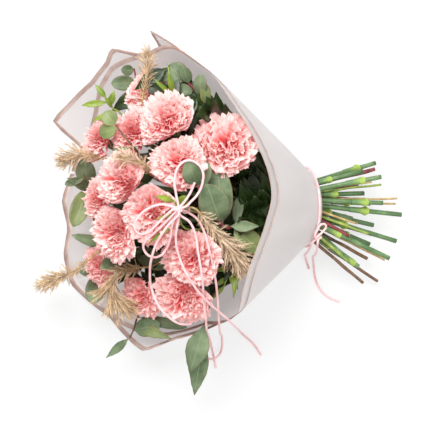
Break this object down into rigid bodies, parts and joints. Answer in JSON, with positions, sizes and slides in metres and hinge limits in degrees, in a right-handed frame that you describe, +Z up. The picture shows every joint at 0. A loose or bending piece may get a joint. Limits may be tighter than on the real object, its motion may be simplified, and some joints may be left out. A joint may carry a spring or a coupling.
{
  "type": "wrapped bunch of carnations",
  "caption": "Hand-tied bunch of pink carnations with eucalyptus, ruscus and reed plumes in a bordered film cone, tied with pink cord, lying on its back.",
  "frame": {"origin": "on the surface that the bunch lies on, under the middle of its box without the free cords", "axes": "+X along the bunch towards the cut stem ends, +Y across it, +Z up; the flowers look up and towards -X"},
  "size_m": [0.4136, 0.4042, 0.1893],
  "materials": {
    "petal": "soft matte petals, pale pink at the edges and coral in the depths",
    "carnation_stem": "smooth, waxy blue-green with yellow-green joints",
    "eucalyptus_leaf": "matte grey-green with reddish edges",
    "ruscus_leaf": "satin bright green",
    "reed_plume": "dry, feathery",
    "wrap_film": "milky translucent film with a rose-gold border",
    "twine": "matte natural twine",
    "pink_cord": "waxed pale pink cord"
  },
  "bodies": {
    "root": {"carnation_1": "petal", "carnation_stem_1": "carnation_stem", "carnation_2": "petal", "carnation_stem_2": "carnation_stem", "carnation_3": "petal", "carnation_stem_3": "carnation_stem", "carnation_4": "petal", "carnation_stem_4": "carnation_stem", "carnation_5": "petal", "carnation_stem_5": "carnation_stem", "carnation_6": "petal", "carnation_stem_6": "carnation_stem", "carnation_7": "petal", "carnation_stem_7": "carnation_stem", "carnation_8": "petal", "carnation_stem_8": "carnation_stem", "carnation_9": "petal", "carnation_stem_9": "carnation_stem", "carnation_10": "petal", "carnation_stem_10": "carnation_stem", "carnation_11": "petal", "carnation_stem_11": "carnation_stem", "carnation_12": "petal", "carnation_stem_12": "carnation_stem", "carnation_13": "petal", "carnation_stem_13": "carnation_stem", "carnation_14": "petal", "carnation_stem_14": "carnation_stem", "wrap_inner": "wrap_film", "wrap_outer": "wrap_film", "waist_tie": "twine", "neck_tie": "pink_cord", "bow_knot": "pink_cord", "bow_loop_top": "pink_cord", "bow_loop_left": "pink_cord", "bow_loop_low": "pink_cord", "bow_tail_long": "pink_cord", "bow_tail_1": "pink_cord", "bow_tail_2": "pink_cord", "bow_tail_3": "pink_cord", "neck_tail_1": "pink_cord", "neck_tail_2": "pink_cord", "plume_1": "reed_plume", "plume_2": "reed_plume", "plume_3": "reed_plume", "plume_4": "reed_plume", "plume_5": "reed_plume", "plume_6": "reed_plume", "eucalyptus_1": "eucalyptus_leaf", "eucalyptus_2": "eucalyptus_leaf", "eucalyptus_3": "eucalyptus_leaf", "eucalyptus_4": "eucalyptus_leaf", "eucalyptus_5": "eucalyptus_leaf", "eucalyptus_6": "eucalyptus_leaf", "eucalyptus_7": "eucalyptus_leaf", "eucalyptus_8": "eucalyptus_leaf", "ruscus_1": "ruscus_leaf", "ruscus_2": "ruscus_leaf", "ruscus_3": "ruscus_leaf", "ruscus_4": "ruscus_leaf"}
  },
  "joints": []
}
